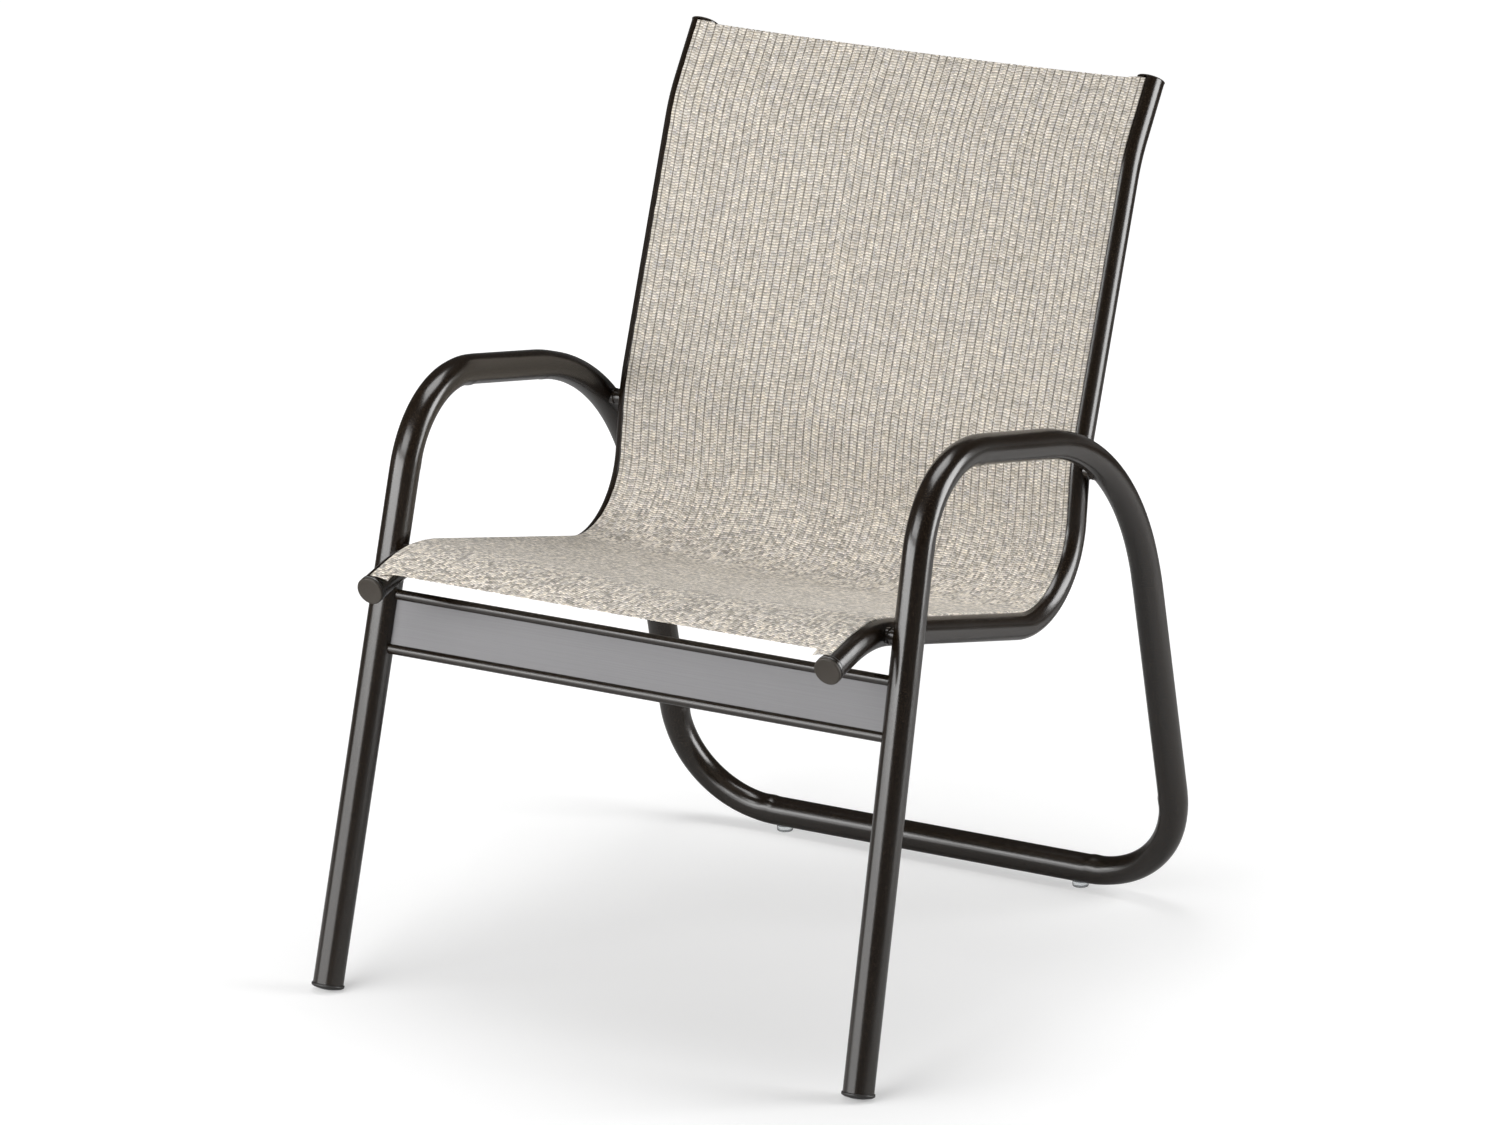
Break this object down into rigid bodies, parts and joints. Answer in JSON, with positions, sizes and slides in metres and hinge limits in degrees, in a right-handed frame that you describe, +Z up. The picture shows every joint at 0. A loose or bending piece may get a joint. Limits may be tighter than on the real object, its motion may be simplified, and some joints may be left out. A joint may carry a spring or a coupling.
{
  "type": "sling patio chair",
  "caption": "Stacking outdoor armchair: a bent tube base with a floor rail behind and a wide front stretcher carries a stretched woven sling seat and back.",
  "frame": {"origin": "on the floor, in the middle of the chair's width and depth", "axes": "+Z up, -Y the way the sitter faces, +X the sitter's left; the chair is symmetric across X"},
  "size_m": [0.666, 0.727, 0.9066],
  "materials": {
    "frame_tube": "semi-gloss dark bronze powder coat with a fine metallic fleck",
    "stretcher_face": "semi-gloss dark bronze powder coat with extrusion grain",
    "rail_cap": "satin moulded taupe nylon",
    "dark_plastic": "satin moulded black nylon",
    "clear_glide": "clear polycarbonate",
    "fixing_steel": "zinc plated steel",
    "sling": "woven coated mesh in beige and grey threads",
    "spline": "extruded plastic rod"
  },
  "bodies": {
    "root": {"left_side_frame": "frame_tube", "right_side_frame": "frame_tube", "floor_rail_sleeve": "fixing_steel", "front_stretcher": "stretcher_face", "left_sling_rail": "frame_tube", "right_sling_rail": "frame_tube", "left_front_rivet_nut": "fixing_steel", "left_front_spacer": "frame_tube", "left_front_bolt": "fixing_steel", "left_rear_rivet_nut": "fixing_steel", "left_rear_spacer": "frame_tube", "left_rear_bolt": "fixing_steel", "left_seat_bar_saddle": "dark_plastic", "left_back_bar_saddle": "dark_plastic", "left_rail_front_cap": "rail_cap", "left_rail_top_cap": "rail_cap", "left_front_foot": "dark_plastic", "left_rear_glide": "clear_glide", "left_sling_spline": "spline", "right_front_rivet_nut": "fixing_steel", "right_front_spacer": "frame_tube", "right_front_bolt": "fixing_steel", "right_rear_rivet_nut": "fixing_steel", "right_rear_spacer": "frame_tube", "right_rear_bolt": "fixing_steel", "right_seat_bar_saddle": "dark_plastic", "right_back_bar_saddle": "dark_plastic", "right_rail_front_cap": "rail_cap", "right_rail_top_cap": "rail_cap", "right_front_foot": "dark_plastic", "right_rear_glide": "clear_glide", "right_sling_spline": "spline", "seat_spreader_bar": "frame_tube", "back_spreader_bar": "frame_tube", "sling_panel": "sling"}
  },
  "joints": []
}
